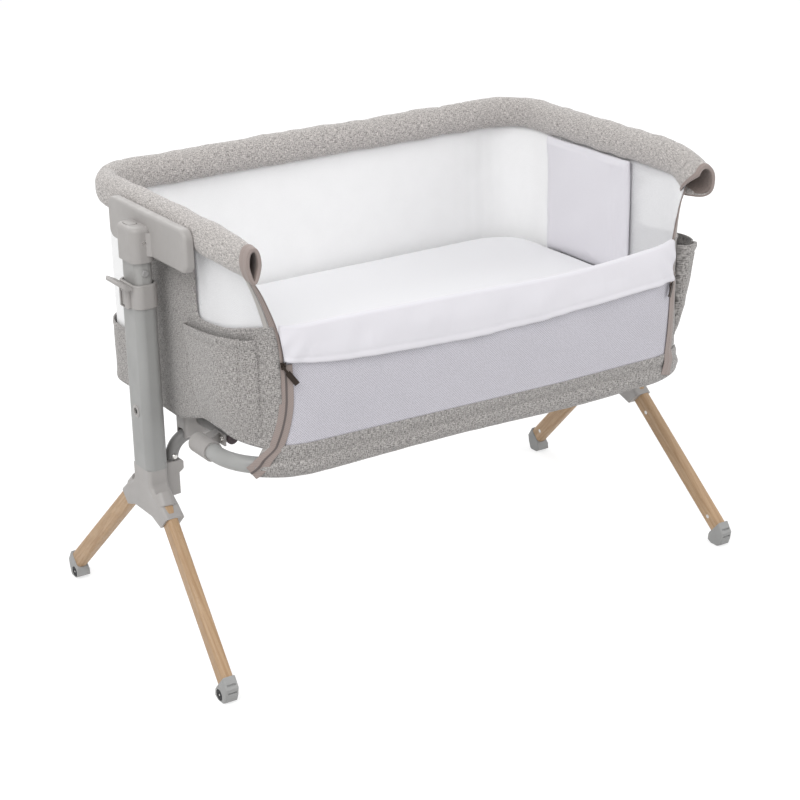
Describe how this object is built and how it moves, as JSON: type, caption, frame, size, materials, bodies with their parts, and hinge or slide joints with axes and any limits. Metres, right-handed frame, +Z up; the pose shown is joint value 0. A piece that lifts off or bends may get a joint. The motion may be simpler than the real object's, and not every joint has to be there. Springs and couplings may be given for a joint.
{
  "type": "bedside sleeper crib",
  "caption": "Bedside crib with its front side let down: fabric and mesh basket on two telescopic posts with splayed beech legs.",
  "frame": {"origin": "on the floor under the middle of the crib", "axes": "+X along the length towards the right end, -Y towards the opened front, +Z up"},
  "size_m": [0.9722, 0.548, 0.684],
  "materials": {
    "steel_grey": "satin",
    "steel_dark": "satin",
    "plastic_grey": "satin",
    "bright_steel": "polished",
    "beech": "oiled",
    "roller_rubber": "matte",
    "plum_plastic": "satin",
    "heather_fabric": "woven",
    "white_fabric": "woven",
    "white_mesh": "open mesh",
    "zip_taupe": "tape",
    "bronze_metal": "antique"
  },
  "bodies": {
    "stand": {"column_left": "steel_grey", "column_right": "steel_grey", "collar_left": "plastic_grey", "collar_right": "plastic_grey", "leg_socket_left": "plastic_grey", "leg_socket_right": "plastic_grey", "leg_front_left": "beech", "leg_front_right": "beech", "leg_back_left": "beech", "leg_back_right": "beech", "foot_front_left": "plastic_grey", "foot_front_right": "plastic_grey", "foot_back_left": "plastic_grey", "foot_back_right": "plastic_grey", "leg_screws": "bright_steel", "crossbar": "steel_dark", "crossbar_screws": "bright_steel", "stand_pins": "bright_steel", "sight_eyelets": "plastic_grey"},
    "left_lever": {"lever_left": "plastic_grey"},
    "right_lever": {"lever_right": "plastic_grey"},
    "front_left_roller": {"roller_front_left": "roller_rubber"},
    "front_right_roller": {"roller_front_right": "roller_rubber"},
    "back_left_roller": {"roller_back_left": "roller_rubber"},
    "back_right_roller": {"roller_back_right": "roller_rubber"},
    "left_post": {"post_left": "steel_grey"},
    "left_button": {"snap_button_left": "plastic_grey"},
    "bed": {"head_left": "plastic_grey", "head_right": "plastic_grey", "tilt_pins": "bright_steel", "rail_tube": "steel_dark", "rail_sleeve": "heather_fabric", "front_bar": "steel_grey", "bar_socket_left": "plastic_grey", "bar_socket_right": "plastic_grey", "base_frame": "steel_dark", "base_plugs": "plum_plastic", "socket_bolts": "bright_steel", "saddles": "plastic_grey", "base_board": "white_fabric", "mattress": "white_fabric", "end_panel_left": "heather_fabric", "end_panel_right": "heather_fabric", "mesh_wall": "white_mesh", "back_band": "heather_fabric", "front_mesh": "white_mesh", "front_flap": "white_fabric", "front_band": "heather_fabric", "inner_flap": "white_fabric", "pocket_left": "heather_fabric", "pocket_right": "heather_fabric", "zip_tapes": "zip_taupe"},
    "right_post": {"post_right": "steel_grey"},
    "right_button": {"snap_button_right": "plastic_grey"},
    "left_tab": {"head_tab_left": "plastic_grey"},
    "right_tab": {"head_tab_right": "plastic_grey"},
    "left_slider": {"zip_slider_left": "bronze_metal"},
    "right_slider": {"zip_slider_right": "bronze_metal"},
    "left_pull": {"zip_pull_left": "bronze_metal"},
    "right_pull": {"zip_pull_right": "bronze_metal"}
  },
  "joints": [
    {"name": "height", "type": "slide", "parent": "stand", "child": "left_post", "axis": [0, 0, 1], "range_m": [0, 0.125]},
    {"name": "tilt", "type": "hinge", "parent": "left_post", "child": "bed", "pos_m": [-0.443, 0, 0.63], "axis": [0, -1, 0], "range_deg": [0, 3.2]},
    {"name": "right_level", "type": "hinge", "parent": "bed", "child": "right_post", "pos_m": [0.443, 0, 0.63], "axis": [0, -1, 0], "range_deg": [-3.2, 0]},
    {"name": "left_release", "type": "hinge", "parent": "stand", "child": "left_lever", "pos_m": [-0.4655, 0, 0.5575], "axis": [0, 1, 0], "range_deg": [0, 10], "stiffness_Nm_per_rad": 0.25, "springref_deg": -5.73},
    {"name": "right_release", "type": "hinge", "parent": "stand", "child": "right_lever", "pos_m": [0.4655, 0, 0.5575], "axis": [0, -1, 0], "range_deg": [0, 10], "stiffness_Nm_per_rad": 0.25, "springref_deg": -5.73},
    {"name": "left_button_press", "type": "slide", "parent": "left_post", "child": "left_button", "axis": [0, 1, 0], "range_m": [0, 0.003], "stiffness_N_per_m": 150, "springref_m": -0.002},
    {"name": "right_button_press", "type": "slide", "parent": "right_post", "child": "right_button", "axis": [0, 1, 0], "range_m": [0, 0.003], "stiffness_N_per_m": 150, "springref_m": -0.002},
    {"name": "left_tab_press", "type": "slide", "parent": "bed", "child": "left_tab", "axis": [0, 0, -1], "range_m": [0, 0.002], "stiffness_N_per_m": 150, "springref_m": -0.002},
    {"name": "right_tab_press", "type": "slide", "parent": "bed", "child": "right_tab", "axis": [0, 0, -1], "range_m": [0, 0.002], "stiffness_N_per_m": 150, "springref_m": -0.002},
    {"name": "left_zip", "type": "slide", "parent": "bed", "child": "left_slider", "axis": [0, 0, -1], "range_m": [0, 0.06]},
    {"name": "right_zip", "type": "slide", "parent": "bed", "child": "right_slider", "axis": [0, 0, -1], "range_m": [0, 0.06]},
    {"name": "left_pull_swing", "type": "hinge", "parent": "left_slider", "child": "left_pull", "pos_m": [-0.35017, -0.25761, 0.4875], "axis": [-0.9026, 0.4305, 0], "range_deg": [0, 90]},
    {"name": "right_pull_swing", "type": "hinge", "parent": "right_slider", "child": "right_pull", "pos_m": [0.35017, -0.25761, 0.4875], "axis": [-0.9026, -0.4305, 0], "range_deg": [0, 90]},
    {"name": "front_left_roll", "type": "hinge", "parent": "stand", "child": "front_left_roller", "pos_m": [-0.4739, -0.2515, 0.009], "axis": [1, 0, 0], "continuous": true},
    {"name": "front_right_roll", "type": "hinge", "parent": "stand", "child": "front_right_roller", "pos_m": [0.4739, -0.2515, 0.009], "axis": [1, 0, 0], "continuous": true},
    {"name": "back_left_roll", "type": "hinge", "parent": "stand", "child": "back_left_roller", "pos_m": [-0.4739, 0.2515, 0.009], "axis": [1, 0, 0], "continuous": true},
    {"name": "back_right_roll", "type": "hinge", "parent": "stand", "child": "back_right_roller", "pos_m": [0.4739, 0.2515, 0.009], "axis": [1, 0, 0], "continuous": true}
  ],
  "couplings": [
    {"joint": "right_level", "follows": "tilt", "ratio": -1}
  ]
}
